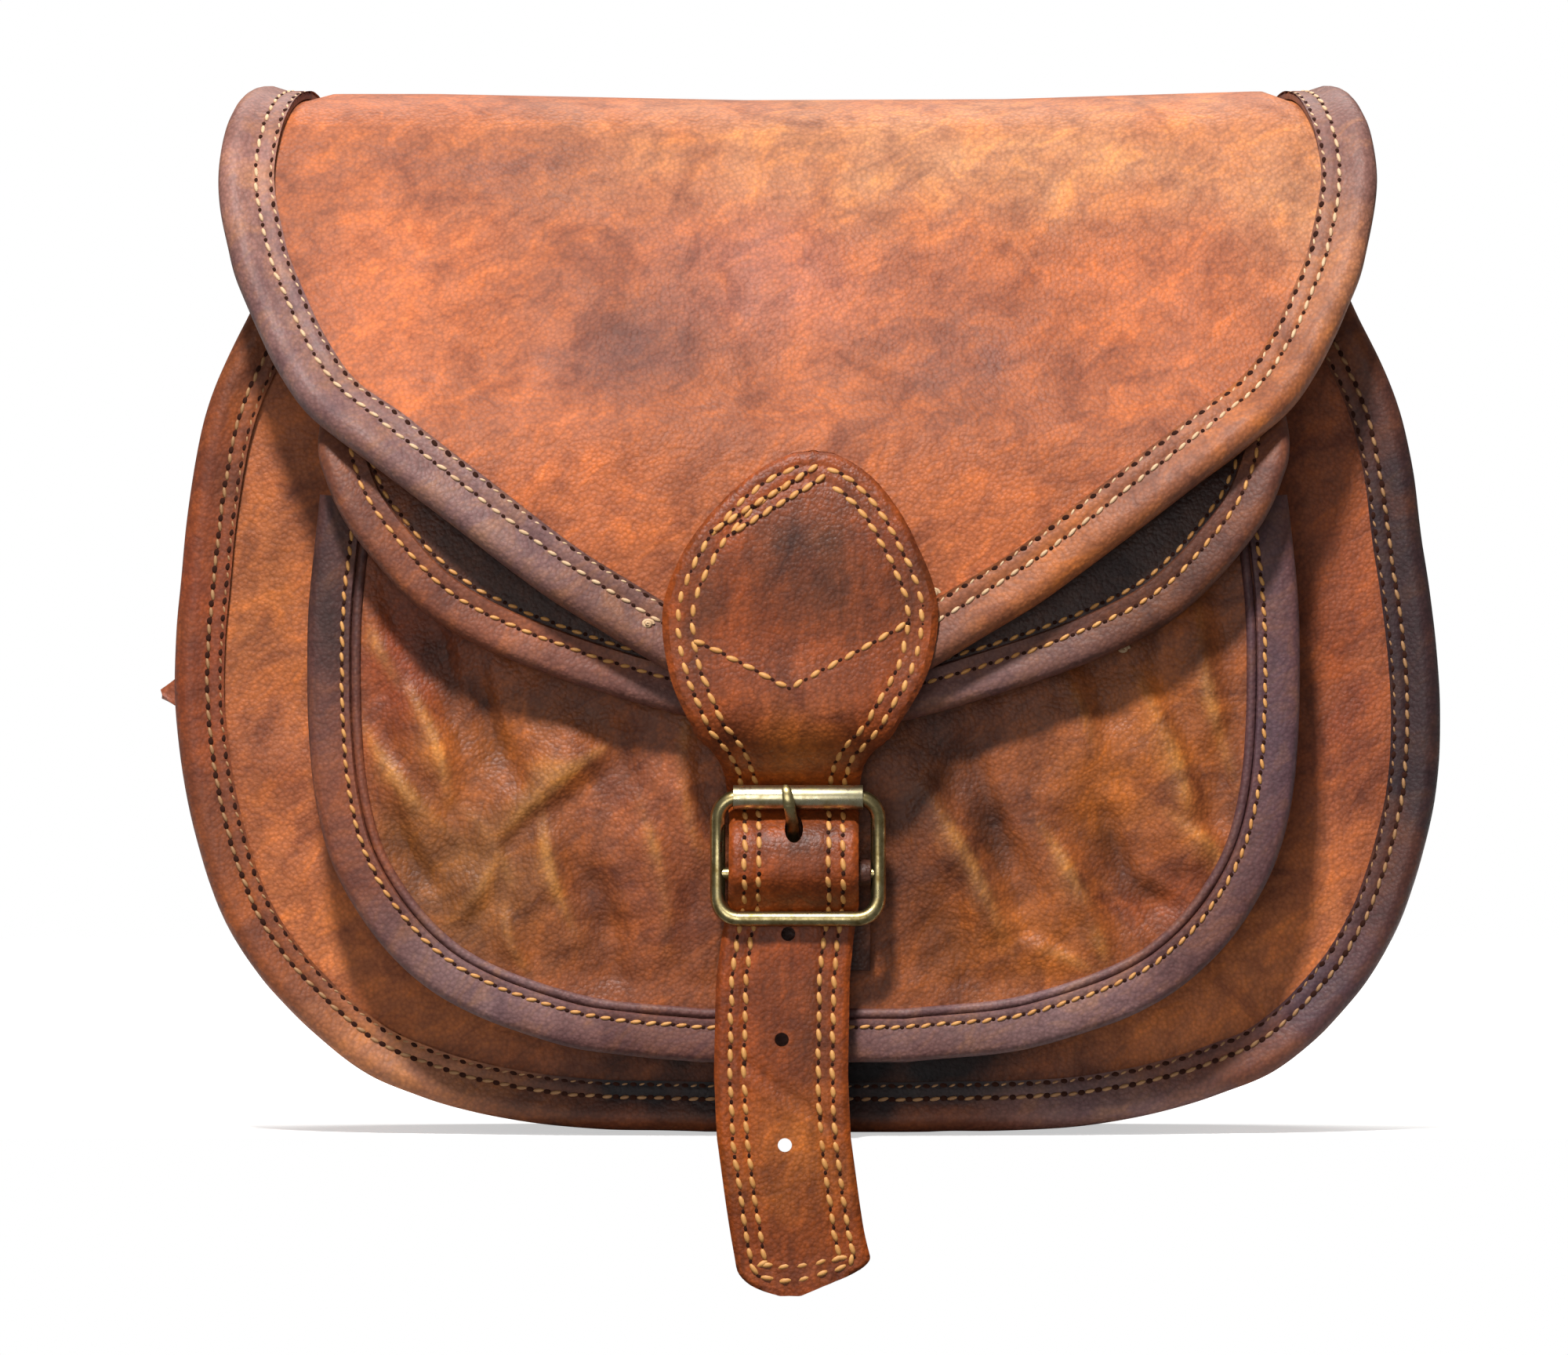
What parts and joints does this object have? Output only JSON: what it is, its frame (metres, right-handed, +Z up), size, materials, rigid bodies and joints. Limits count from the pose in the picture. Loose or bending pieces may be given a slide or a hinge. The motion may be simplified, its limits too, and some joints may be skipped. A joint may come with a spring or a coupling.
{
  "type": "laptop sling bag",
  "caption": "Small leather saddle bag carried on a sling: gusseted body, bound edges, flapped front pocket, wide flap closed by a strap and roller buckle.",
  "frame": {"origin": "midway between the lower bars of the two sling rings, which carry the bag", "axes": "+Z up as the bag hangs, the flap and buckle face -Y, +X to the viewer's right"},
  "size_m": [0.24, 0.0905, 0.231],
  "materials": {
    "flap_leather": "mottled orange-tan goat leather, soft satin grain",
    "body_leather": "mottled ochre and red-brown goat leather, satin grain",
    "pocket_leather": "mottled ochre and dark-brown goat leather, satin grain",
    "flap_edge_leather": "rolled mauve-brown edge binding, satin",
    "edge_leather": "rolled purple-brown edge binding, satin",
    "strap_leather": "stitched mid-brown strap leather, dark cut edge",
    "antique_brass": "antique brass, dark in the recesses, worn bright on top"
  },
  "bodies": {
    "bag": {"front_panel": "body_leather", "front_binding": "edge_leather", "gusset": "body_leather", "back_panel": "body_leather", "back_binding": "edge_leather", "pocket_panel": "pocket_leather", "pocket_gusset": "pocket_leather", "pocket_binding": "edge_leather", "buckle_chape": "strap_leather", "ring_tab_left": "strap_leather", "ring_tab_right": "strap_leather", "sling_long_strap": "strap_leather", "sling_short_strap": "strap_leather"},
    "flap": {"flap_panel": "flap_leather", "flap_binding": "flap_edge_leather", "closure_strap": "strap_leather"},
    "pocket_flap": {"pocket_flap_panel": "pocket_leather", "pocket_flap_binding": "edge_leather"},
    "buckle": {"buckle_frame": "antique_brass"},
    "roller": {"buckle_roller": "antique_brass"},
    "tongue": {"buckle_tongue": "antique_brass"},
    "ring_left": {"sling_ring_left": "antique_brass"},
    "ring_right": {"sling_ring_right": "antique_brass"},
    "keeper": {"sling_keeper": "strap_leather"},
    "sling_buckle": {"sling_buckle_frame": "antique_brass"},
    "sling_tongue": {"sling_buckle_tongue": "antique_brass"}
  },
  "joints": [
    {"name": "flap_hinge", "type": "hinge", "parent": "bag", "child": "flap", "pos_m": [0, 0.018, 0.017], "axis": [-1, 0, 0], "range_deg": [0, 150], "deforming": ["closure_strap"]},
    {"name": "pocket_flap_hinge", "type": "hinge", "parent": "bag", "child": "pocket_flap", "pos_m": [0, -0.02293, -0.016], "axis": [-1, 0, 0], "range_deg": [0, 75]},
    {"name": "buckle_hinge", "type": "hinge", "parent": "bag", "child": "buckle", "pos_m": [0, -0.05273, -0.118], "axis": [-1, 0, 0], "range_deg": [0, 8]},
    {"name": "roller_spin", "type": "hinge", "parent": "buckle", "child": "roller", "pos_m": [0, -0.05473, -0.1035], "axis": [1, 0, 0], "continuous": true},
    {"name": "tongue_hinge", "type": "hinge", "parent": "buckle", "child": "tongue", "pos_m": [0, -0.05273, -0.118], "axis": [1, 0, 0], "range_deg": [0, 120]},
    {"name": "ring_left_hinge", "type": "hinge", "parent": "bag", "child": "ring_left", "pos_m": [-0.09706, 0, 0], "axis": [0, -1, 0], "range_deg": [0, 150], "deforming": ["sling_short_strap"]},
    {"name": "ring_right_hinge", "type": "hinge", "parent": "bag", "child": "ring_right", "pos_m": [0.09706, 0, 0], "axis": [0, 1, 0], "range_deg": [0, 150], "deforming": ["sling_long_strap"]},
    {"name": "keeper_slide", "type": "slide", "parent": "bag", "child": "keeper", "axis": [1, 0, 0], "range_m": [-0.004, 0.008]},
    {"name": "sling_buckle_hinge", "type": "hinge", "parent": "bag", "child": "sling_buckle", "pos_m": [-0.02, 0, -0.13359], "axis": [0, -1, 0], "range_deg": [0, 40]},
    {"name": "sling_tongue_hinge", "type": "hinge", "parent": "sling_buckle", "child": "sling_tongue", "pos_m": [-0.02, 0, -0.13359], "axis": [0, -1, 0], "range_deg": [0, 60]}
  ],
  "couplings": [
    {"joint": "pocket_flap_hinge", "follows": "flap_hinge", "ratio": 0.5}
  ]
}
